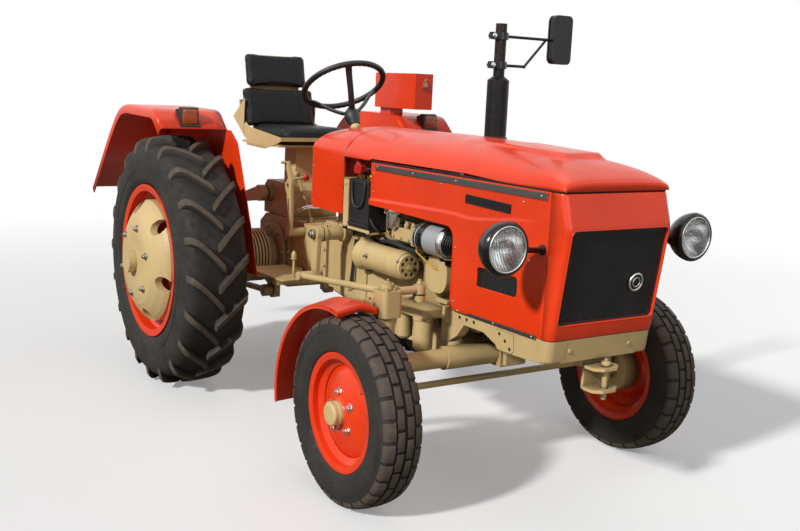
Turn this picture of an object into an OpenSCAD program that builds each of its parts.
// Vintage farm tractor with an open engine, a three-point linkage and steered front wheels.
// Millimetres. +X points forward, +Y to the tractor's left and +Z up.
// Every module is drawn from the rear axle's centre line (x) and the ground (z).
// from_rear_axle() then moves the whole tractor so that its box is centred over the origin.

/* [Wheels] */
// Distance between the rear and the front axle
wheelbase = 1780; // [1760:5:1840]
// Outer radius of a rear tyre, to the lug tips
rear_tyre_r = 625; // [605:1:640]
// Section width of a rear tyre
rear_tyre_w = 315; // [290:1:330]
// Radius of the rear rim's flange
rear_rim_r = 381; // [375:1:390]
// Distance between the middles of the rear tyres
rear_track = 1424; // [1420:2:1500]
// Lugs on each side of a rear tyre
lug_count = 20; // [16:1:24]
// Height of a lug above the carcass
lug_h = 32; // [22:1:36]
// Outer radius of a front tyre
front_tyre_r = 356; // [345:1:362]
// Section width of a front tyre
front_tyre_w = 165; // [150:1:172]
// Radius of the front rim's flange
front_rim_r = 223; // [215:1:228]
// Distance between the middles of the front tyres
front_track = 1386; // [1376:2:1420]

/* [Front axle and steering] */
// Distance of a kingpin from the middle of the tractor
kingpin_y = 570; // [562:1:574]
// Height of the axle beam's centre line
beam_z = 510; // [500:1:520]
// Radius of the axle beam
beam_r = 37; // [30:1:39]
// Radius of a kingpin
kingpin_r = 20; // [16:1:24]
// Length of the tie rod's arms
tie_arm_l = 140; // [125:1:150]
// Length of the arm that the drag link turns
steer_arm_l = 145; // [135:1:155]
// Length of the drop arm
drop_arm_l = 190; // [170:1:200]
// Outer radius of the steering wheel
wheel_r = 216; // [190:1:230]
// Lean of the steering column from upright
column_lean = 33; // [30:1:36]

/* [Bodywork] */
// Width of the bonnet and of the nose
hood_w = 504; // [490:2:520]
// Thickness of the sheet metal
sheet = 3; // [2:0.5:4]
// Gap at the seams between panels
seam = 0.5; // [0.3:0.1:1]
// Height of the line where the bonnet meets the side panels
belt_z = 1213; // [1200:1:1225]
// Height of the lower edge of the side panels and of the nose
sill_z = 697; // [690:1:705]
// Height of the bonnet's crown above the belt line
crown_h = 135; // [115:1:145]
// Width of the grille
grille_w = 458; // [430:2:470]
// Height of the grille
grille_h = 338; // [300:2:345]
// Spacing of the grille's diagonal bars
grille_pitch = 26; // [22:1:40]
// Radius of a headlight's shell
lamp_r = 92; // [80:1:100]
// Distance of a headlight from the middle of the tractor
lamp_y = 453; // [440:1:470]

/* [Fenders] */
// Distance of a rear fender's inner wall from the middle of the tractor
fender_in = 520; // [515:1:530]
// Distance of a rear fender's outer edge from the middle of the tractor
fender_out = 860; // [840:1:866]
// Depth of the lip along a rear fender's outer edge
fender_lip = 47; // [30:1:60]
// Radius of a front fender
front_fender_r = 414; // [412:1:425]

/* [Seat and toolbox] */
// Width of the seat cushion
seat_w = 440; // [400:5:470]
// Depth of the seat cushion
seat_d = 415; // [380:5:430]
// Height of the top of the seat cushion
seat_z = 1300; // [1290:1:1320]
// Width of the backrest
back_w = 430; // [400:5:450]
// Width of the headrest
head_w = 360; // [330:5:380]
// Length of the toolbox
tool_l = 405; // [380:5:415]
// Width of the toolbox
tool_w = 112; // [105:1:140]
// Height of the toolbox with its lid
tool_h = 190; // [170:1:210]

/* [Rear linkage] */
// Distance between the two lower link ends, on their middles
hitch_w = 683; // [660:1:700]
// Length of a lower link
link_l = 740; // [700:5:760]
// Radius of the hole in a lower link's ball
ball_bore_r = 11.1; // [10:0.1:12]
// Radius of the holes for the top link's pin
top_link_bore_r = 9.65; // [9:0.05:10.5]
// Length of a lift arm
lift_arm_l = 255; // [240:1:270]

/* [Hidden] */

$fn = 64;
paint = "#e8401c";
sand = "#cdb98a";
dark = "#222222";
steel = "#9a9a98";

// Play round a shaft that turns, and the gap left between pieces that only lie together
fit = 0.05;
rest_gap = 0.3;

// Places along the tractor, from the rear axle
nose_x = wheelbase + 600;
front_x = wheelbase;
fender_rear_x = -925;
cowl_rear_x = 567;
cowl_front_x = 882;
bell_x = 1010;
engine_rear_x = bell_x + 60;
engine_front_x = front_x - 85;
centre_x = (nose_x + fender_rear_x) / 2;

// Widths and heights that several pieces share
hood_y = hood_w / 2;
rear_y = rear_track / 2;
front_y = front_track / 2;
box_y = 150;
box_top = 830;
lift_x = -110;
lift_z = 940;
lift_top = 1010;

// Moves everything from the rear axle to the middle of the tractor's box
module from_rear_axle() {
    translate([-centre_x, 0, 0]) children();
}

// Draws the same piece on the right and on the left
module both_sides() {
    children();
    mirror([0, 1, 0]) children();
}

// Extrudes an outline drawn in x and z, with its middle at y
module side_plate(y, t) {
    translate([0, y + t / 2, 0]) rotate([90, 0, 0]) linear_extrude(t) children();
}

// Extrudes an outline drawn in y and z forward from x
module cross_plate(x, t) {
    translate([x, 0, 0]) rotate([90, 0, 90]) linear_extrude(t) children();
}

// Round bar between two points
module rod(a, b, r, r2 = undef) {
    v = b - a;
    l = norm(v);
    translate(a) rotate([0, acos(v[2] / l), atan2(v[1], v[0])])
        cylinder(h = l, r1 = r, r2 = is_undef(r2) ? r : r2);
}

// Round bar along y
module bar_y(x, z, y0, y1, r) {
    translate([x, y0, z]) rotate([-90, 0, 0]) cylinder(h = y1 - y0, r = r);
}

// Turns an outline of radius and y about the y axis
module spun_y() {
    rotate([-90, 0, 0]) rotate_extrude() children();
}

// Box from its lowest to its highest corner
module block(low, high) {
    translate(low) cube(high - low);
}

// Rectangle with round corners, from its lowest to its highest corner
module round_rect(low, high, r) {
    hull_w = high - low;
    translate(low) {
        translate([r, 0]) square([hull_w[0] - 2 * r, hull_w[1]]);
        translate([0, r]) square([hull_w[0], hull_w[1] - 2 * r]);
        for (x = [r, hull_w[0] - r], y = [r, hull_w[1] - r]) translate([x, y]) circle(r);
    }
}

// Outline of a bent sheet: the path, and the same path moved by t to its right
function turn_right(v) = [v[1], -v[0]] / norm(v);
function path_normal(p, i) =
    let (a = turn_right(p[min(i + 1, len(p) - 1)] - p[min(i, len(p) - 2)]),
         b = turn_right(p[max(i, 1)] - p[max(i - 1, 0)]), n = a + b)
    n / (n * n) * 2;
function ribbon(p, t) = concat(p, [for (i = [len(p) - 1:-1:0]) p[i] + t * path_normal(p, i)]);

// Outline of radius and y from its half on the +y side, which starts and ends in the middle
function both_halves(p) = concat(p, [for (i = [len(p) - 2:-1:1]) [p[i][0], -p[i][1]]]);

// Solid through rings that have the same number of points
module loft(rings) {
    n = len(rings[0]);
    m = len(rings);
    faces = concat(
        [[for (i = [0:n - 1]) i]],
        [for (k = [0:m - 2], i = [0:n - 1])
            [k * n + i, (k + 1) * n + i, (k + 1) * n + (i + 1) % n, k * n + (i + 1) % n]],
        [[for (i = [n - 1:-1:0]) (m - 1) * n + i]]);
    polyhedron([for (r = rings) each r], faces, convexity = 6);
}

// Section of a hood at x: straight sides up from z0, then half an ellipse that is h high
function hood_ring(x, z0, zs, h, w, n = 16) =
    concat([[x, w, z0]],
           [for (i = [0:n]) [x, w * cos(180 * i / n), zs + h * sin(180 * i / n)]],
           [[x, -w, z0]]);

// Tyres and wheels are drawn for the left side about y = 0, with the outer face towards +y

// Half outline of the rear tyre's carcass: radius, y
rear_bead_r = rear_rim_r - 25;
rear_half = rear_tyre_w / 2;
rear_bead_y = rear_half - 20;
rear_crown_r = rear_tyre_r - lug_h;
rear_carcass = [
        [rear_bead_r + rest_gap, 0], [rear_bead_r + rest_gap, rear_bead_y - rest_gap],
        [rear_rim_r + rest_gap, rear_bead_y - rest_gap], [rear_rim_r + 20, rear_half - 6],
        [rear_rim_r + 75, rear_half], [rear_rim_r + 130, rear_half - 3],
        [rear_crown_r - 38, rear_half - 18], [rear_crown_r - 14, rear_half - 42],
        [rear_crown_r - 3, rear_half - 90], [rear_crown_r, 0]
];

// Path of one lug: y from the middle, turn in degrees, height above the carcass, half width
lug_path = [
    [-8, 0, 1.00, 19],
    [62, 5.2, 1.00, 21],
    [118, 11.0, 0.90, 25],
    [rear_half - 7, 17.5, 0.20, 28]
];
lug_root = 14;
function lug_ring(s) =
    let (top = rear_crown_r + lug_h * s[2] - (s[2] < 0.5 ? 30 : 0), low = top - lug_h - lug_root,
         half = asin(s[3] / rear_tyre_r))
    [for (c = [[low, 1.25], [top, 1], [top, -1], [low, -1.25]])
        let (a = s[1] + c[1] * half) [c[0] * cos(a), s[0], c[0] * sin(a)]];
module lug() {
    loft([for (s = lug_path) lug_ring(s)]);
}
module rear_tyre() {
    color(dark) union() {
        spun_y() polygon(both_halves(rear_carcass));
        for (i = [0:lug_count - 1]) {
            rotate([0, -360 / lug_count * i, 0]) lug();
            rotate([0, -360 / lug_count * (i + 0.5), 0]) mirror([0, 1, 0]) lug();
        }
    }
}

// Rear rim: radius and y of its outer line, from the middle to the flange
rim_t = 8;
rear_rim_half = rear_half - 9;
rear_well_r = rear_rim_r - 68;
module rear_rim() {
    line = [
        [rear_well_r, 0], [rear_well_r, 55], [rear_bead_r - 10, 85], [rear_bead_r, 96],
        [rear_bead_r, rear_bead_y], [rear_rim_r - 4, rear_bead_y],
        [rear_rim_r, rear_bead_y + 4], [rear_rim_r, rear_rim_half]
    ];
    outline = concat(line, [
        [rear_rim_r - 10, rear_rim_half], [rear_bead_r - rim_t, rear_rim_half - 4],
        [rear_bead_r - rim_t, 96], [rear_bead_r - 10 - rim_t, 90],
        [rear_well_r - rim_t, 60], [rear_well_r - rim_t, 0]
    ]);
    color(paint) spun_y() polygon(both_halves(outline));
}

// Rear disc: a dome with notches round its edge, a hub face with nuts, and the half shaft
disc_t = 9;
disc_seat_y = 40;
disc_face_y = 214;
disc_notches = 6;
disc_notch_r = 37;
disc_notch_in = 238;
disc_hub_r = 105;
disc_hub_t = 50;
disc_boss_r = 54;
disc_boss_h = 39;
half_shaft_r = 42;
shaft_seat = 60;
// The rear axle's housing ends inside the wheel, behind the disc's hub
trumpet_end = fender_in - rest_gap;
axle_end = rear_y + disc_face_y - disc_hub_t - 6;
module rear_disc() {
    outer_r = rear_well_r - rim_t - rest_gap;
    dome = [
        [outer_r, disc_seat_y], [outer_r, 133], [290, 150], [255, 178], [215, 200],
        [180, 210], [140, disc_face_y], [0, disc_face_y]
    ];
    notch_x = disc_notch_in + disc_notch_r;
    color(sand) union() {
        difference() {
            union() {
                spun_y() polygon(ribbon(dome, -disc_t));
                for (i = [1:disc_notches]) rotate([0, 360 / disc_notches * i - 45, 0]) intersection() {
                    bar_y(notch_x, 0, 110, disc_face_y, disc_notch_r + disc_t);
                    spun_y() polygon(ribbon(dome, -3.4 * disc_t));
                }
            }
            for (i = [1:disc_notches]) rotate([0, 360 / disc_notches * i - 45, 0])
                bar_y(notch_x, 0, 72, disc_face_y + 10, disc_notch_r);
        }
        bar_y(0, 0, disc_face_y - 1, disc_face_y + disc_boss_h, disc_boss_r);
        bar_y(0, 0, disc_face_y - disc_hub_t, disc_face_y - 1, disc_hub_r);
        bar_y(0, 0, axle_end - rear_y - shaft_seat, disc_face_y - 1, half_shaft_r);
    }
}

// Front tyre, rim and hub
front_half = front_tyre_w / 2;
front_bead_r = front_rim_r - 20;
front_well_r = front_rim_r - 45;
front_rim_half = front_half - 13;
module front_tyre() {
    outline = [
        [front_bead_r + rest_gap, 0], [front_bead_r + rest_gap, front_rim_half - 10],
        [front_rim_r, front_rim_half - 8], [front_rim_r + 14, front_half - 6],
        [front_rim_r + 45, front_half], [front_rim_r + 80, front_half - 2],
        [front_tyre_r - 26, front_half - 10], [front_tyre_r - 9, front_half - 17],
        [front_tyre_r - 3, front_half - 34], [front_tyre_r, front_half - 60], [front_tyre_r, 0]
    ];
    color(dark) spun_y() polygon(both_halves(outline));
}

front_disc_y = 18;
front_hub_r = 48;
stud_circle = 76;
wheel_stud_r = 8;
module front_rim() {
    line = [
        [front_well_r, 0], [front_well_r, 24], [front_bead_r, 40],
        [front_bead_r, front_rim_half - 8], [front_rim_r, front_rim_half - 5],
        [front_rim_r, front_rim_half], [front_rim_r - 8, front_rim_half],
        [front_bead_r - 6, front_rim_half - 4], [front_bead_r - 6, 42],
        [front_well_r - 6, 28], [front_well_r - 6, 0]
    ];
    dish = [
        [front_well_r - 2, front_disc_y - 24], [front_well_r - 8, front_disc_y],
        [140, front_disc_y + 16], [110, front_disc_y - 8], [front_hub_r + rest_gap, front_disc_y - 8]
    ];
    back = [for (i = [len(dish) - 1:-1:0]) dish[i] - [0, 6]];
    color(paint) difference() {
        union() {
            spun_y() polygon(both_halves(line));
            spun_y() polygon(concat(dish, back));
        }
        for (i = [0:4]) rotate([0, 72 * i, 0]) bar_y(0, stud_circle, 0, 30, wheel_stud_r + rest_gap);
    }
}

spindle_r = 24;
sleeve_r = 36;
hub_inner = kingpin_y + sleeve_r + 6 - front_y;
module front_hub() {
    cap_end = 106;
    color(sand) difference() {
        union() {
            bar_y(0, 0, hub_inner, front_disc_y - 14 - rest_gap, 92);
            bar_y(0, 0, front_disc_y - 20, 58, front_hub_r);
            bar_y(0, 0, 58, cap_end - 6, 36);
            bar_y(0, 0, cap_end - 6, cap_end, 30);
            for (i = [0:4]) rotate([0, 72 * i, 0]) {
                bar_y(0, stud_circle, front_disc_y - 20, front_disc_y + 8, wheel_stud_r);
                bar_y(0, stud_circle, front_disc_y - 8 + rest_gap, front_disc_y + 4, 13);
            }
        }
        bar_y(0, 0, hub_inner - 1, 62, spindle_r + fit);
    }
}

// Places a wheel that was drawn for the left side
module at_rear_left() {
    translate([0, rear_y, rear_tyre_r]) children();
}
module at_front_left() {
    translate([front_x, front_y, front_tyre_r]) children();
}

axle_tube_r = 78;
module transmission() {
    profile = [
        [-190, 470], [-190, 780], [-120, box_top], [bell_x - 120, box_top], [bell_x, 880],
        [bell_x, 520], [bell_x - 160, 560], [320, 560], [160, 470]
    ];
    color(sand) difference() {
        union() {
            side_plate(0, 2 * box_y) polygon(profile);
            for (x = [172, 560]) block([x, -box_y - 14, 545], [x + 28, box_y + 14, box_top + 8]);
            cross_plate(bell_x - 24, 24) round_rect([-225, 500], [225, 905], 90);
            hull() {
                cross_plate(bell_x - 24, 1) round_rect([-218, 506], [218, 899], 84);
                cross_plate(bell_x - 330, 1) round_rect([-168, 545], [168, 838], 20);
            }
            block([655, -box_y - 14, 858], [drop_x - 30, -90, 874]);
            block([668, -box_y + 2, box_top - 1], [drop_x - 30, -90, 859]);
            translate([690, -142, 873]) cylinder(h = cowl_floor_z - rest_gap - 873, r = 9);
            both_sides() {
                bar_y(0, rear_tyre_r, box_y - 1, trumpet_end, 92);
                bar_y(0, rear_tyre_r, box_y - 1, box_y + 30, 165);
                bar_y(0, rear_tyre_r, trumpet_end - 22, trumpet_end, 135);
                for (i = [0:5]) bar_y(0, rear_tyre_r, 240 + 18 * i, 250 + 18 * i, 140);
                bar_y(0, rear_tyre_r, 240, 340, 130);
                bar_y(0, rear_tyre_r, trumpet_end - 1, axle_end, axle_tube_r);
                block([-30, box_y - 1, 400], [70, link_y - 26, 470]);
                bar_y(20, link_z, box_y - 1, link_y - 26, 42);
                bar_y(20, link_z, box_y - 1, link_y + 26, link_pin_r);
            }
            block([600, -110, box_top - 1], [860, 110, cowl_floor_z - rest_gap]);
            block([drop_x - 45, -box_y - 44, 770], [drop_x + 45, -60, drop_z + 26]);
            block([drop_x - 43, -box_y - 26, drop_z + 25], [drop_x + 43, -60, drop_z + 64]);
            bar_y(drop_x, drop_z, -box_y - 70, -box_y + 1, 40);
            translate([-250, 0, 560]) rotate([0, 90, 0]) cylinder(h = 61, r = 17.5);
        }
        both_sides() bar_y(0, rear_tyre_r, axle_end - shaft_seat - rest_gap, axle_end + 1,
                           half_shaft_r + fit);
        bar_y(drop_x, drop_z, -box_y - 71, -box_y - 10, drop_shaft_r + fit);
        for (i = [-1.5:1.5]) block([drop_x + 16 * i - 3, -box_y - 27, drop_z + 34],
                                   [drop_x + 16 * i + 3, -box_y - 18, drop_z + 56]);
    }
}

// Lower links turn on pins under the trumpets
link_y = 205;
link_z = 430;
link_x = 20;
link_pin_r = 14;
link_tip_y = hitch_w / 2;

// Lift housing with the cross shaft's bore
rock_r = 28;
rock_y = 130;
module lift_housing() {
    color(sand) difference() {
        union() {
            block([-185, -rock_y, box_top + rest_gap], [160, rock_y, lift_top - 30]);
            side_plate(0, 2 * rock_y) polygon([
                [-185, lift_top - 31], [-150, lift_top], [60, lift_top], [160, lift_top - 31]
            ]);
            both_sides() bar_y(lift_x, lift_z, rock_y - 1, rock_y + 22, 46);
            both_sides() block([-235, 20, 860], [-184, 38, 935]);
        }
        bar_y(lift_x, lift_z, -rock_y - 30, rock_y + 30, rock_r + fit);
        bar_y(-212, 885, -60, 60, top_link_bore_r);
        bar_y(-212, 915, -60, 60, top_link_bore_r);
    }
}

lift_y = 190;
lift_drop = 12;
module lift_arms() {
    tip = [lift_x - lift_arm_l * cos(lift_drop), lift_z - lift_arm_l * sin(lift_drop)];
    color(sand) difference() {
        union() {
            bar_y(lift_x, lift_z, -lift_y - 14, lift_y + 14, rock_r);
            both_sides() {
                bar_y(lift_x, lift_z, lift_y - 20, lift_y + 14, 44);
                bar_y(tip[0], tip[1], lift_y - 11, lift_y + 11, 26);
                translate([0, lift_y + 11, 0]) rotate([90, 0, 0]) linear_extrude(22) polygon([
                    [lift_x - 6, lift_z + 40], [tip[0], tip[1] + 24],
                    [tip[0], tip[1] - 24], [lift_x - 6, lift_z - 40]
                ]);
            }
        }
        both_sides() bar_y(tip[0], tip[1], lift_y - 20, lift_y + 40, 12 + fit);
    }
}

// Lift rods hang from the lift arms' pins, outside the arms, and end beside the lower links
rod_top = [lift_x - lift_arm_l * cos(lift_drop), lift_z - lift_arm_l * sin(lift_drop)];
rod_share = 0.56;
rod_out = 42;
function link_at(s) = [link_x - s * link_l, link_y + s * (link_tip_y - link_y)];
rod_foot = [link_at(rod_share)[0], link_at(rod_share)[1] + rod_out];
module lift_rods() {
    color(steel) both_sides() {
        bar_y(rod_top[0], rod_top[1], lift_y - 16, lift_y + 30, 12);
        bar_y(rod_top[0], rod_top[1], lift_y + 13, lift_y + 37, 22);
        rod([rod_top[0], lift_y + 26, rod_top[1] - 10], [rod_foot[0], rod_foot[1], link_z + 12], 13);
        rod([rod_top[0], lift_y + 26, rod_top[1] - 10] * 0.45
            + [rod_foot[0], rod_foot[1], link_z + 12] * 0.55,
            [rod_foot[0], rod_foot[1], link_z + 12] * 0.85
            + [rod_top[0], lift_y + 26, rod_top[1] - 10] * 0.15, 19);
        bar_y(rod_foot[0], link_z, rod_foot[1] - 11, rod_foot[1] + 11, 24);
    }
}

module lower_link() {
    a = [link_x, link_y, link_z];
    b = [link_x - link_l, link_tip_y, link_z];
    color(sand) difference() {
        union() {
            rod(a, b, 17);
            bar_y(a[0], a[2], a[1] - 24, a[1] + 24, 32);
            bar_y(b[0], b[2], b[1] - 18, b[1] + 18, 36);
        }
        bar_y(a[0], a[2], a[1] - 30, a[1] + 30, link_pin_r + fit);
        bar_y(b[0], b[2], b[1] - 30, b[1] + 30, ball_bore_r);
    }
}

module rear_hitch() {
    plate_x = -190 - rest_gap;
    pin_x = plate_x - 160;
    color(sand) difference() {
        union() {
            block([plate_x - 14, -75, 475], [plate_x, 75, 535]);
            for (z = [475, 523]) block([pin_x - 45, -45, z], [plate_x - 13, 45, z + 12]);
        }
        translate([pin_x, 0, 470]) cylinder(h = 70, r = 16);
    }
}

engine_l = engine_front_x - engine_rear_x;
cylinder_pitch = (engine_l - 55) / 3;
module engine() {
    top = 905;
    color(sand) union() {
        cross_plate(bell_x + rest_gap, 60) round_rect([-225, 500], [225, top], 90);
        difference() {
            hull() {
                cross_plate(engine_rear_x - 1, 1) round_rect([-218, 507], [218, top], 84);
                cross_plate(engine_rear_x + 120, 1) round_rect([-152, 562], [152, top], 20);
            }
            translate([engine_rear_x + rest_gap, starter_y, starter_z]) rotate([0, 90, 0])
                cylinder(h = 130, r = starter_nose_r + 8);
        }
        side_plate(0, 300) polygon([
            [engine_rear_x, 560], [engine_rear_x, top], [engine_front_x, top],
            [engine_front_x, 560]
        ]);
        side_plate(-174, 50) round_rect([engine_front_x - 205, 720], [engine_front_x - 55, 868], 60);
        side_plate(-163, 28) round_rect([engine_front_x - 150, 678], [engine_front_x - 72, 697], 9);
        both_sides() for (i = [0:5])
            bar_y(engine_rear_x + 70 + i * (engine_l - 125) / 5, 585, 149, 158, 11);
        side_plate(0, 230) polygon([
            [engine_rear_x + 40, 561], [engine_rear_x + 80, 445], [engine_front_x - 60, 445],
            [engine_front_x - 30, 561]
        ]);
        block([engine_rear_x + 50, -115, top - 1], [engine_front_x - 20, 115, 1040]);
        for (i = [0:2]) block([engine_rear_x + 65 + i * cylinder_pitch, -85, 1039],
                              [engine_rear_x + 45 + (i + 1) * cylinder_pitch, 85, 1110]);
        for (i = [0:2]) bar_y(engine_rear_x + 150 + i * cylinder_pitch, 985, 114, 175, 24);
        translate([engine_rear_x + 100, 190, 985]) rotate([0, 90, 0])
            cylinder(h = 2 * cylinder_pitch + 60, r = 30);
        rod([exhaust_x, 190, 985], [exhaust_x, exhaust_y, 1060], 28);
        translate([exhaust_x, exhaust_y, 1050]) cylinder(h = 86, r = 28);
        block([engine_front_x - 1, -120, 660 + rest_gap], [front_x - 30, 120, 860]);
        translate([front_x - 31, 0, 735]) rotate([0, 90, 0]) cylinder(h = 40, r = 70);
    }
}

starter_y = -232;
starter_z = 800;
starter_r = 60;
starter_nose_r = 72;
starter_l = engine_l - 289;
module starter_motor() {
    color(sand) translate([engine_rear_x + rest_gap, starter_y, starter_z]) rotate([0, 90, 0])
        difference() {
            union() {
                cylinder(h = 50, r1 = starter_nose_r, r2 = starter_r - 4);
                translate([0, 0, 49]) cylinder(h = starter_l - 49, r = starter_r);
                translate([0, 0, starter_l - 1]) cylinder(h = 13, r1 = starter_r - 3, r2 = starter_r - 9);
                translate([0, 0, starter_l + 11]) cylinder(h = 12, r = 13, $fn = 6);
            }
            for (a = [22.5:45:360]) rotate(a) translate([34, 0, starter_l + 3])
                cylinder(h = 20, r = 8);
        }
}

dynamo_y = -205;
dynamo_z = 935;
dynamo_x = engine_front_x - 215;
module dynamo() {
    color(steel) union() {
        translate([dynamo_x, dynamo_y, dynamo_z]) rotate([0, 90, 0]) cylinder(h = 190, r = 62);
        translate([dynamo_x - 11, dynamo_y, dynamo_z]) rotate([0, 90, 0]) cylinder(h = 212, r = 30);
        block([dynamo_x + 20, -box_y - 12, 906], [dynamo_x + 170, -box_y + 30, 930]);
    }
}

// Filters: place along x, radius, height of the bottom
filter_y = -236;
filters = [[engine_front_x - 285, 34, 500], [engine_front_x - 148, 41, 478]];
module oil_filters() {
    color(sand) {
        for (f = filters) translate([f[0], filter_y, 0]) rotate_extrude() polygon([
            [0, f[2]], [f[1] - 12, f[2]], [f[1], f[2] + 12], [f[1], 606], [f[1] + 4, 608],
            [f[1] + 4, 620], [0, 620]
        ]);
        block([filters[0][0] - 38, filter_y - 42, 619], [filters[1][0] + 46, -box_y - rest_gap, 655]);
    }
}

bowl_x = engine_rear_x + 182;
module fuel_filter() {
    color(steel) {
        translate([bowl_x, -205, 945]) cylinder(h = 62, r = 34);
        translate([bowl_x, -205, 1006]) cylinder(h = 26, r = 40);
        block([bowl_x - 12, -206, 1010], [bowl_x + 12, -115 - rest_gap, 1026]);
    }
}

exhaust_x = engine_front_x - 127;
exhaust_y = 60;
exhaust_top = 1804;
muffler_r = 44.5;
module exhaust_stack() {
    color(dark) translate([exhaust_x, exhaust_y, 0]) rotate_extrude() polygon([
        [19, 1136 + rest_gap], [23, 1136 + rest_gap], [23, 1270], [muffler_r, 1290],
        [muffler_r, 1580], [23, 1596], [23, exhaust_top], [19, exhaust_top]
    ]);
}

mirror_y = 374;
mirror_top = 1858;
module side_mirror() {
    arm_r = 6;
    color(dark) union() {
        for (z = [1640, 1755]) difference() {
            translate([exhaust_x, exhaust_y, z - 14]) cylinder(h = 28, r = 31);
            translate([exhaust_x, exhaust_y, z - 15]) cylinder(h = 30, r = 23 + rest_gap);
        }
        rod([exhaust_x, exhaust_y + 27, 1755], [exhaust_x, mirror_y - 30, 1755], arm_r);
        rod([exhaust_x, exhaust_y + 27, 1640], [exhaust_x, 190, 1640], arm_r);
        translate([exhaust_x, 190, 1640]) sphere(arm_r + 1.5);
        rod([exhaust_x, 190, 1640], [exhaust_x, 300, 1755], arm_r - 0.6);
        translate([exhaust_x - 6, 0, 0]) cross_plate(0, 24)
            round_rect([mirror_y - 50, mirror_top - 200], [mirror_y + 52, mirror_top], 22);
    }
}

module radiator() {
    color(dark) union() {
        block([front_x + 330, -200, sill_z + rest_gap], [front_x + 410, 200, 1120]);
        block([front_x + 320, -210, 1119], [front_x + 420, 210, 1170]);
    }
}

support_in = hood_y - 42;
pivot_r = 18;
pivot_lug = 22;
pivot_gap = 60;
pivot_reach = pivot_gap + pivot_lug;
support_z = 605;
casting_low = 613;
module front_support() {
    rail = [
        [engine_front_x + rest_gap, 560], [engine_front_x + rest_gap, sill_z - rest_gap],
        [nose_x - 55, sill_z - rest_gap], [nose_x - 66, casting_low], [nose_x - 300, support_z],
        [nose_x - 420, 650], [front_x + 60, 650], [front_x + 20, 600], [front_x - 40, 560]
    ];
    deck = sill_z - rest_gap;
    color(sand) difference() {
        union() {
            both_sides() side_plate((hood_y + support_in) / 2, hood_y - support_in) difference() {
                polygon(rail);
                for (x = [front_x + 30, front_x + 75, front_x + 120]) translate([x, 674]) circle(7);
            }
            side_plate(0, 2 * support_in + 2) polygon([
                [nose_x - 120, casting_low], [nose_x - 120, deck], [nose_x - 55, deck],
                [nose_x - 66, casting_low]
            ]);
            block([front_x + 300, -support_in - 1, 670], [nose_x - 119, support_in + 1, deck]);
            both_sides() block([engine_front_x + rest_gap, 121, 620],
                               [engine_front_x + 60, support_in + 1, 680]);
            for (x = [front_x - pivot_reach, front_x + pivot_gap])
                block([x, -50, 470], [x + pivot_lug, 50, 640]);
            block([front_x - pivot_reach, -support_in - 1, 625], [front_x + 95, support_in + 1, 660]);
        }
        translate([front_x - pivot_reach - 1, 0, beam_z]) rotate([0, 90, 0])
            cylinder(h = 2 * pivot_reach + 2, r = pivot_r + fit);
        both_sides() translate([nose_x - 55, hood_y, 0]) rotate(-45)
            translate([-28, -60, casting_low - 20]) cube([80, 120, 140]);
    }
}

// Two level plates in front of an upright one, with an upright hole for the tow pin
tow_pin_x = nose_x - 30;
tow_low = 500;
tow_high = 592;
tow_t = 12;
tow_pin_r = 14;
module tow_clevis() {
    back = nose_x - 96;
    color(sand) difference() {
        union() {
            block([back, -50, tow_low], [back + tow_t, 50, casting_low - rest_gap]);
            for (z = [tow_low, tow_high - tow_t]) translate([0, 0, z]) linear_extrude(tow_t) polygon([
                [back, -50], [back + 26, -60], [nose_x - 26, -60], [nose_x - 2, -30],
                [nose_x - 2, 30], [nose_x - 26, 60], [back + 26, 60], [back, 50]
            ]);
        }
        translate([tow_pin_x, 0, tow_low - 1]) cylinder(h = tow_high - tow_low + 2, r = tow_pin_r);
    }
}

sleeve_low = 425;
sleeve_high = 700;
module front_axle() {
    color(sand) difference() {
        union() {
            bar_y(front_x, beam_z, -kingpin_y + 10, kingpin_y - 10, beam_r);
            bar_y(front_x, beam_z, -300, 300, beam_r + 9);
            block([front_x - 58, -60, beam_z - 50], [front_x + 58, 60, beam_z + 50]);
            translate([front_x - pivot_reach, 0, beam_z]) rotate([0, 90, 0])
                cylinder(h = 2 * pivot_reach, r = pivot_r);
            both_sides() translate([front_x, kingpin_y, sleeve_low])
                cylinder(h = sleeve_high - sleeve_low, r = sleeve_r);
        }
        both_sides() translate([front_x, kingpin_y, sleeve_low - 1])
            cylinder(h = sleeve_high - sleeve_low + 2, r = kingpin_r + fit);
    }
}

// Knuckles are drawn for the left side
arm_z = 773;
tie_z = 392;
knuckle_top = 825;
stud_r = 10;
module knuckle() {
    union() {
            translate([front_x, kingpin_y, sleeve_low - 40]) cylinder(h = 370, r = kingpin_r);
            translate([front_x, kingpin_y, front_tyre_r - 34])
                cylinder(h = sleeve_low - front_tyre_r + 34 - rest_gap, r = 33);
            translate([front_x, kingpin_y, sleeve_high + rest_gap])
                linear_extrude(knuckle_top - sleeve_high - 25) round_rect([-44, -46], [44, 38], 18);
            translate([front_x, kingpin_y, knuckle_top - 26]) cylinder(h = 26, r = 26);
            bar_y(front_x, front_tyre_r, kingpin_y, front_y + 50, spindle_r);
            rod([front_x, kingpin_y, tie_z + 1], [front_x - tie_arm_l, kingpin_y, tie_z + 1], 15);
            translate([front_x - tie_arm_l, kingpin_y, tie_z - 14]) cylinder(h = 32, r = 24);
            block([front_x - 90, kingpin_y + 20, 740], [front_x - 20, fender_edge - rest_gap, 752]);
    }
}
module knuckle_left() {
    color(sand) union() {
        knuckle();
        translate([front_x - tie_arm_l, kingpin_y, tie_z - 48]) cylinder(h = 40, r = stud_r);
    }
}
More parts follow.
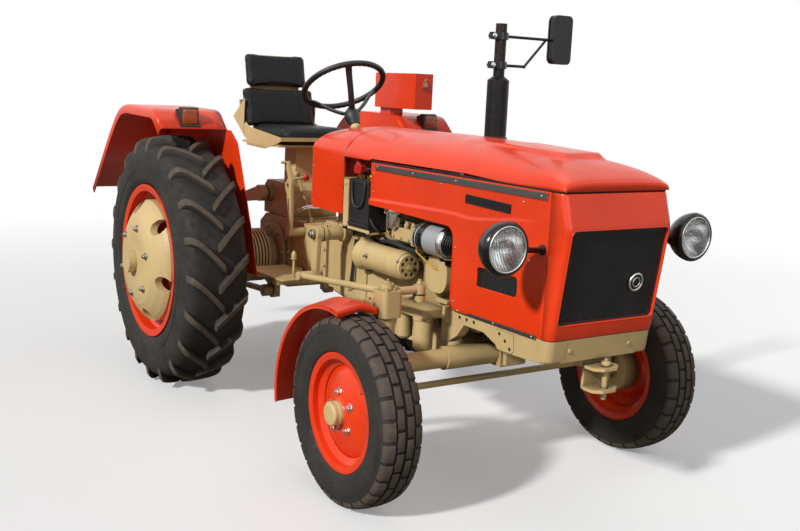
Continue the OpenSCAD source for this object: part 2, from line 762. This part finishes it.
module knuckle_right() {
    color(sand) union() {
        mirror([0, 1, 0]) knuckle();
        translate([front_x - tie_arm_l, -kingpin_y, tie_z - 48]) cylinder(h = 40, r = stud_r);
        rod([front_x, -kingpin_y, arm_z + 18], [front_x, steer_arm_l - kingpin_y, arm_z + 18], 16);
        translate([front_x, steer_arm_l - kingpin_y, arm_z + 3]) cylinder(h = 32, r = 24);
        translate([front_x, steer_arm_l - kingpin_y, arm_z - 24]) cylinder(h = 30, r = stud_r);
    }
}

// Front fenders are drawn for the left side: an inverted V section turned round a centre
// that lies behind and below the wheel's
fender_edge = 615;
fender_far = 785;
module front_fender() {
    mid = (fender_edge + fender_far) / 2 - 10;
    ridge = 20;
    color(paint) translate([front_x - 58, 0, front_tyre_r - 26]) rotate([-90, 0, 0])
        rotate_extrude(angle = -102, start = -87) polygon([
            [front_fender_r - 14, fender_edge], [front_fender_r, fender_edge],
            [front_fender_r + ridge, mid], [front_fender_r, fender_far],
            [front_fender_r - 14, fender_far], [front_fender_r - 14, fender_far - sheet],
            [front_fender_r - sheet, fender_far - sheet], [front_fender_r + ridge - sheet, mid],
            [front_fender_r - sheet, fender_edge + sheet], [front_fender_r - 14, fender_edge + sheet]
        ]);
}

// The drop arm hangs from its shaft and ends beside the drag link's rear socket
drop_x = 840;
drop_z = 862;
drop_y = 358;
drop_shaft_r = 19;
module drop_arm() {
    end = [drop_x, drop_z - drop_arm_l];
    color(sand) union() {
        bar_y(drop_x, drop_z, -drop_y - 12, -drop_y + 22, 36);
        bar_y(drop_x, drop_z, -drop_y - 11, -box_y - 11, drop_shaft_r);
        bar_y(drop_x, drop_z, -drop_y - 26, -drop_y - 11, 17);
        bar_y(end[0], end[1], -drop_y - 12, -drop_y + 12, 23);
        side_plate(-drop_y, 20) polygon([
            [drop_x - 34, drop_z], [end[0] - 22, end[1]],
            [end[0] + 22, end[1]], [drop_x + 34, drop_z]
        ]);
    }
}

link_ball_y = steer_arm_l - kingpin_y;
module drag_link() {
    rear = [drop_x, link_ball_y, drop_z - drop_arm_l];
    front = [front_x, link_ball_y, arm_z - 14];
    color(sand) difference() {
        union() {
            rod(rear, front, 14);
            bar_y(rear[0], rear[2], link_ball_y - 24, -drop_y - 12 - rest_gap, 20);
            translate([front_x, link_ball_y, arm_z - 28]) cylinder(h = 30, r = 24);
        }
        translate([front_x, link_ball_y, arm_z - 40]) cylinder(h = 60, r = stud_r + fit);
    }
}

module tie_rod() {
    x = front_x - tie_arm_l;
    z = tie_z - 33;
    color(sand) difference() {
        union() {
            rod([x, -kingpin_y, z], [x, kingpin_y, z], 14);
            both_sides() translate([x, kingpin_y, z - 15]) cylinder(h = 33 - rest_gap, r = 23);
        }
        both_sides() translate([x, kingpin_y, z - 20]) cylinder(h = 50, r = stud_r + fit);
    }
}

// The nose leans forward up to a fold and back above it
fold_z = 1091;
nose_top = belt_z + 3;
function nose_front(z) = z < fold_z
    ? nose_x - (fold_z - z) * 0.137
    : nose_x - (z - fold_z) * 0.3;
function nose_ring(z, back, cut) =
    let (x = nose_front(z) - cut, y = hood_y - cut, c = 24)
    [[back, -y, z], [x - c, -y, z], [x, c - y, z], [x, y - c, z], [x - c, y, z], [back, y, z]];
seam_x = nose_x - 95;
module nose_shell() {
    zs = [sill_z, fold_z, nose_top - seam];
    color(paint) difference() {
        loft([for (z = zs) nose_ring(z, seam_x, 0)]);
        loft([for (z = [sill_z - 1, fold_z, nose_top + 1]) nose_ring(z, seam_x - 10, sheet)]);
        translate([nose_front(fold_z), 0, fold_z - 4]) rotate([0, atan(0.137), 0])
            translate([-60, 0, -grille_h]) cross_plate(0, 120)
                round_rect([-grille_w / 2, 0], [grille_w / 2, grille_h], 18);
    }
}

module grille() {
    inset = seam;
    w = grille_w - 2 * inset;
    h = grille_h - 2 * inset;
    bars = ceil((w + h) / grille_pitch / 1.4142) + 1;
    color(dark) translate([nose_front(fold_z), 0, fold_z - 4]) rotate([0, atan(0.137), 0])
        translate([-sheet - 3, 0, -grille_h + inset]) {
            cross_plate(-4, 8) difference() {
                round_rect([-w / 2, 0], [w / 2, h], 16);
                round_rect([-w / 2 + 9, 9], [w / 2 - 9, h - 9], 10);
            }
            for (side = [0, 1]) cross_plate(side * 2.2 - 2.1, 2) intersection() {
                round_rect([-w / 2 + 4, 4], [w / 2 - 4, h - 4], 12);
                translate([0, h / 2]) rotate(side == 0 ? 45 : -45)
                    for (i = [-bars:bars]) translate([-w, i * grille_pitch - 2]) square([2 * w, 4]);
            }
        }
}

// Bonnet stations: x, belt height, crown height above the belt
bonnet_stations = [
    [cowl_front_x + seam, 0, 1.00], [1500, 0, 1.02], [1950, 0, 0.90], [front_x + 400, 1, 0.70],
    [front_x + 500, 2, 0.48], [front_x + 545, 3, 0.28], [front_x + 562, 3, 0.08]
];
module bonnet() {
    color(paint) difference() {
        union() {
            loft([for (s = bonnet_stations)
                hood_ring(s[0], belt_z + seam + s[1], belt_z + seam + s[1] + 2, crown_h * s[2], hood_y)]);
            hull() {
                translate([1450, -60, belt_z + 60]) cube([1, 120, crown_h - 62]);
                translate([front_x + 340, -90, belt_z + 60]) cube([1, 180, crown_h - 78]);
                translate([front_x + 400, -125, belt_z + 60]) cube([1, 250, 20]);
                translate([1700, -125, belt_z + 60]) cube([1, 250, 60]);
            }
        }
        loft([for (s = bonnet_stations)
            hood_ring(s[0] - (s[0] < 1000 ? 10 : sheet), belt_z - 5, belt_z + s[1] + 1,
                      crown_h * s[2] - sheet, hood_y - sheet)]);
        translate([exhaust_x, exhaust_y, belt_z]) cylinder(h = 200, r = muffler_r + 4);
    }
}

module side_panels() {
    top = belt_z - seam;
    panel_step_x = front_x - 45;
    vent = [[front_x + 129, 817], [front_x + 357, 890]];
    color(paint) both_sides() side_plate(hood_y - sheet / 2, sheet) difference() {
        polygon([
            [1120, 1045], [1120, top], [seam_x - seam, top], [seam_x - seam, sill_z],
            [panel_step_x, sill_z], [panel_step_x, 970], [panel_step_x - 5, 992],
            [panel_step_x - 30, 1016], [1134, 1028]
        ]);
        round_rect(vent[0], vent[1], 10);
    }
}

lamp_z = 1029;
lamp_x = nose_x - 77;
module headlights() {
    color(dark) both_sides() {
        translate([lamp_x, lamp_y, lamp_z]) rotate([0, 90, 0]) rotate([0, 0, 90])
            rotate_extrude() polygon([
                [0, -92], [30, -88], [62, -68], [84, -38], [lamp_r, -8], [lamp_r, 6],
                [lamp_r - 8, 8], [50, 17], [0, 22]
            ]);
        rod([lamp_x - 45, hood_y + 5, lamp_z - 20], [lamp_x - 45, lamp_y - 60, lamp_z - 10], 13);
        bar_y(lamp_x - 45, lamp_z - 20, hood_y + rest_gap, hood_y + 9, 28);
    }
}

cowl_floor_z = 956;
module cowl() {
    rear = hood_ring(cowl_rear_x, cowl_floor_z, belt_z + 20, 95, hood_y);
    front = hood_ring(cowl_front_x, cowl_floor_z, belt_z + 3, crown_h, hood_y);
    color(paint) difference() {
        loft([rear, front]);
        loft([
            hood_ring(cowl_rear_x + sheet, cowl_floor_z + sheet, belt_z + 18, 95 - sheet, hood_y - sheet),
            hood_ring(cowl_front_x - sheet, cowl_floor_z + sheet, belt_z + 2, crown_h - sheet,
                      hood_y - sheet)
        ]);
        along_column(0) cylinder(h = 900, r = column_r + rest_gap);
        translate([cowl_rear_x, 0, cowl_floor_z]) rotate([0, 45, 0])
            cube([36, hood_w + 2, 36], center = true);
    }
}

// The steering column's axis runs down and forward from the middle of the steering wheel
column_top = [420, 1530];
column_hub = 165;
column_r = 20;
module along_column(d) {
    translate([column_top[0], 0, column_top[1]]) rotate([0, 180 - column_lean, 0])
        translate([0, 0, d]) children();
}
module steering_column() {
    color(sand) difference() {
        along_column(column_hub) cylinder(h = 600, r = column_r);
        along_column(column_hub - 1) cylinder(h = 200, r = 10 + fit);
        block([600, -100, cowl_floor_z - 300], [1000, 100, cowl_floor_z]);
    }
}

module steering_wheel() {
    ring = 12;
    color(dark) along_column(0) union() {
        rotate_extrude() translate([wheel_r - ring, 0]) circle(ring, $fn = 24);
        for (a = [0, 120, 240]) rotate(a) {
            rod([wheel_r - ring, 0, 0], [wheel_r * 0.5, 0, 44], 7);
            rod([wheel_r * 0.57, 0, 36], [12, 0, 104], 8.5, 10);
        }
        translate([0, 0, 82]) cylinder(h = column_hub - 82 - rest_gap, r1 = 32, r2 = 24);
        translate([0, 0, 100]) cylinder(h = column_hub + 150 - 100, r = 10);
    }
}

module battery_box() {
    color(dark) union() {
        block([945, -248, 946], [1105, -100, 1127]);
        block([935, -250, 905 + rest_gap], [1110, -90, 946]);
    }
}

step_z = 610;
module step_plates() {
    color(sand) both_sides() union() {
        translate([0, 0, step_z - 6]) linear_extrude(6) polygon([
            [250, 215], [250, 430], [396, 430], [640, 421], [615, 215]
        ]);
        for (x = [300, 520]) block([x, box_y + 14 + rest_gap, step_z - 36], [x + 50, 414, step_z - 5]);
    }
}

// Top line of a rear fender from its front edge to its rear edge
fender_top = [
    [190, 1293], [105, 1368], [60, 1381], [-330, 1388], [-420, 1373], [-500, 1325],
    [-623, 1213], [fender_rear_x, 899]
];
function fender_crown(x) = fender_top[2][1] + (fender_top[2][0] - x)
    * (fender_top[3][1] - fender_top[2][1]) / (fender_top[2][0] - fender_top[3][0]);
module rear_fenders() {
    wall = concat(fender_top, [
        [-870, 860], [-190, 720], [-136, 640], [-136, 600], [136, 600], [136, 626],
        [570, 626], [487, 866], [327, 1234], [245, 1290]
    ]);
    color(paint) both_sides() union() {
        side_plate(fender_in + sheet / 2, sheet) difference() {
            polygon(wall);
            translate([0, rear_tyre_r]) circle(110);
        }
        translate([0, fender_out, 0]) rotate([90, 0, 0])
            linear_extrude(fender_out - fender_in - 1) polygon(ribbon(fender_top, -sheet));
        side_plate(fender_out - sheet / 2, sheet) polygon(ribbon(fender_top, -fender_lip));
    }
}

module marker_lamps() {
    front = fender_top[0] * 0.9 + fender_top[1] * 0.1 + [0, rest_gap];
    rear = fender_top[0] * 0.05 + fender_top[1] * 0.95 + [0, rest_gap];
    color("orange") both_sides() side_plate(705, 96) polygon([
        front, front + [0, 84], front + [-8, 94], front + [-56, 94], rear
    ]);
}

// The toolbox stands on the left fender, with its lid hinged at its rear end
tool_x = -90;
tool_y = fender_in - 20;
tool_z = 1420;
lid_h = 26;
tool_wall = 3;
tool_floor = 5;
hinge = [tool_x - 9, tool_z + tool_h - lid_h];
module toolbox() {
    color(paint) difference() {
        union() {
            block([tool_x, tool_y, tool_z], [tool_x + tool_l, tool_y + tool_w, tool_z + tool_h - lid_h]);
            side_plate((fender_in + tool_y + tool_w) / 2, tool_y + tool_w - fender_in - 12) polygon([
                [tool_x + 20, fender_crown(tool_x + 20) + rest_gap], [tool_x + 20, tool_z + 1],
                [tool_x + 130, tool_z + 1], [tool_x + 130, fender_crown(tool_x + 130) + rest_gap]
            ]);
            for (y = [tool_y + 8, tool_y + tool_w - 38])
                hinge_leaf(y, 30);
            block([tool_x + tool_l - 1, tool_y + tool_w / 2 - 16, tool_z + tool_h - lid_h - 52],
                  [tool_x + tool_l + 9, tool_y + tool_w / 2 + 16, tool_z + tool_h - lid_h - 14]);
        }
        block([tool_x + tool_wall, tool_y + tool_wall, tool_z + tool_floor],
              [tool_x + tool_l - tool_wall, tool_y + tool_w - tool_wall, tool_z + tool_h]);
        bar_y(hinge[0], hinge[1], tool_y, tool_y + tool_w, 3 + fit);
    }
}
module hinge_leaf(y, w) {
    bar_y(hinge[0], hinge[1], y, y + w, 7);
    block([hinge[0], y, hinge[1] - 7], [tool_x + 1, y + w, hinge[1] - 1]);
}
module toolbox_lid() {
    top = tool_z + tool_h;
    color(paint) union() {
        difference() {
            block([tool_x, tool_y, top - lid_h + rest_gap], [tool_x + tool_l, tool_y + tool_w, top]);
            block([tool_x + tool_wall, tool_y + tool_wall, top - lid_h - 1],
                  [tool_x + tool_l - tool_wall, tool_y + tool_w - tool_wall, top - tool_wall]);
        }
        bar_y(hinge[0], hinge[1], tool_y + 39, tool_y + tool_w - 39, 7);
        bar_y(hinge[0], hinge[1], tool_y + 10, tool_y + tool_w - 10, 3);
        block([hinge[0], tool_y + 39, hinge[1] + 1], [tool_x + 1, tool_y + tool_w - 39, hinge[1] + 7]);
    }
}

// The plate behind the seat leans back in one line
seat_rear_x = -232;
back_low = 1302;
head_top = 1676;
function back_x(z) = -302 - (z - back_low) * 0.257;
module seat_frame() {
    pan_z = seat_z - 85;
    apron_x = seat_rear_x + seat_d + rest_gap;
    color(sand) union() {
        block([back_x(pan_z) - 11, -seat_w / 2, pan_z - 12],
              [seat_rear_x + seat_d - 20, seat_w / 2, pan_z]);
        block([-70, -70, lift_top + rest_gap], [60, 70, pan_z - 11]);
        for (b = [[300, pan_z - 12, head_top], [back_w + 8, back_low - 2, 1430]])
            side_plate(0, b[0]) polygon([
                [back_x(b[1]) - rest_gap, b[1]], [back_x(b[2]) - rest_gap, b[2]],
                [back_x(b[2]) - 12, b[2]], [back_x(b[1]) - 12, b[1]]
            ]);
        both_sides() {
            side_plate(seat_w / 2 + 2, 4) polygon([
                [seat_rear_x, seat_z - 8], [apron_x + 4, seat_z - 46], [apron_x + 4, pan_z + 20],
                [119, pan_z - 3], [-4, pan_z - 29], [seat_rear_x + 7, pan_z - 24]
            ]);
            side_plate(back_w / 2 + rest_gap + 2, 4) polygon([
                [-271, 1440], [-283, pan_z + 29], [-420, 1336]
            ]);
        }
        block([apron_x, -seat_w / 2 - 3, pan_z + 20], [apron_x + 4, seat_w / 2 + 3, pan_z + 40]);
    }
}
module seat_cushion() {
    color(dark) block([seat_rear_x, -seat_w / 2 + 5, seat_z - 85 + rest_gap],
                      [seat_rear_x + seat_d, seat_w / 2 - 5, seat_z]);
}
module seat_backs() {
    color(dark) {
        side_plate(0, back_w) polygon([
            [-237, back_low], [back_x(back_low), back_low], [back_x(1490), 1490], [-270, 1490]
        ]);
        side_plate(0, head_w) polygon([
            [-311, 1508], [back_x(1508), 1508], [back_x(head_top), head_top], [-332, head_top]
        ]);
    }
}

// Levers: foot on the gearbox, knob
levers = [[[300, -100], [240, -150, 1070]], [[330, 60], [300, 100, 1120]]];
// The lift control's lever beside the seat: outline in x and z, foot and plane
lift_lever = [
    [345, 800], [342, 985], [341, 1048], [329, 1061], [296, 1137], [267, 1140], [304, 1061],
    [273, 1029], [275, 1004], [296, 978], [300, 931], [305, 800]
];
lift_lever_y = -230;
module controls() {
    color(sand) {
        side_plate(lift_lever_y, 16) difference() {
            polygon(lift_lever);
            translate([304, 1024]) circle(12);
            polygon([[315, 892], [324, 892], [321, 958], [311, 958]]);
        }
        bar_y(325, 790, lift_lever_y - 14, -box_y - rest_gap, 22);
        bar_y(281, 1137, lift_lever_y - 34, lift_lever_y + 12, 7);
        rod([334, lift_lever_y, 1056], [330, -158, 1066], 7);
        translate([330, -150, 1067]) sphere(17, $fn = 32);
        for (l = levers) {
            translate([l[0][0], l[0][1], box_top + rest_gap]) cylinder(h = 24, r = 17);
            rod([l[0][0], l[0][1], box_top + 14], l[1], 9, 7);
            translate(l[1]) sphere(17, $fn = 32);
        }
    }
}

from_rear_axle() transmission();
from_rear_axle() lift_housing();
from_rear_axle() engine();
from_rear_axle() starter_motor();
from_rear_axle() dynamo();
from_rear_axle() oil_filters();
from_rear_axle() fuel_filter();
from_rear_axle() exhaust_stack();
from_rear_axle() side_mirror();  // mirror
from_rear_axle() radiator();
from_rear_axle() front_support();
from_rear_axle() tow_clevis();
from_rear_axle() front_axle();
from_rear_axle() nose_shell();
from_rear_axle() grille();
from_rear_axle() bonnet();
from_rear_axle() side_panels();
from_rear_axle() headlights();
from_rear_axle() cowl();
from_rear_axle() battery_box();
from_rear_axle() step_plates();
from_rear_axle() rear_fenders();
from_rear_axle() marker_lamps();
from_rear_axle() toolbox();
from_rear_axle() toolbox_lid();
from_rear_axle() steering_column();
from_rear_axle() steering_wheel();
from_rear_axle() seat_frame();
from_rear_axle() seat_cushion();
from_rear_axle() seat_backs();
from_rear_axle() controls();
from_rear_axle() rear_hitch();
from_rear_axle() lift_arms();
from_rear_axle() lift_rods();
from_rear_axle() mirror([0, 1, 0]) lower_link();  // lower_link_right
from_rear_axle() lower_link();  // lower_link_left
from_rear_axle() knuckle_right();
from_rear_axle() knuckle_left();
from_rear_axle() mirror([0, 1, 0]) front_fender();  // front_fender_right
from_rear_axle() front_fender();  // front_fender_left
from_rear_axle() drop_arm();
from_rear_axle() drag_link();
from_rear_axle() tie_rod();
from_rear_axle() mirror([0, 1, 0]) at_rear_left() rear_tyre();  // rear_tyre_right
from_rear_axle() at_rear_left() rear_tyre();  // rear_tyre_left
from_rear_axle() mirror([0, 1, 0]) at_rear_left() rear_rim();  // rear_rim_right
from_rear_axle() at_rear_left() rear_rim();  // rear_rim_left
from_rear_axle() mirror([0, 1, 0]) at_rear_left() rear_disc();  // rear_disc_right
from_rear_axle() at_rear_left() rear_disc();  // rear_disc_left
from_rear_axle() mirror([0, 1, 0]) at_front_left() front_tyre();  // front_tyre_right
from_rear_axle() at_front_left() front_tyre();  // front_tyre_left
from_rear_axle() mirror([0, 1, 0]) at_front_left() front_rim();  // front_rim_right
from_rear_axle() at_front_left() front_rim();  // front_rim_left
from_rear_axle() mirror([0, 1, 0]) at_front_left() front_hub();  // front_hub_right
from_rear_axle() at_front_left() front_hub();  // front_hub_left
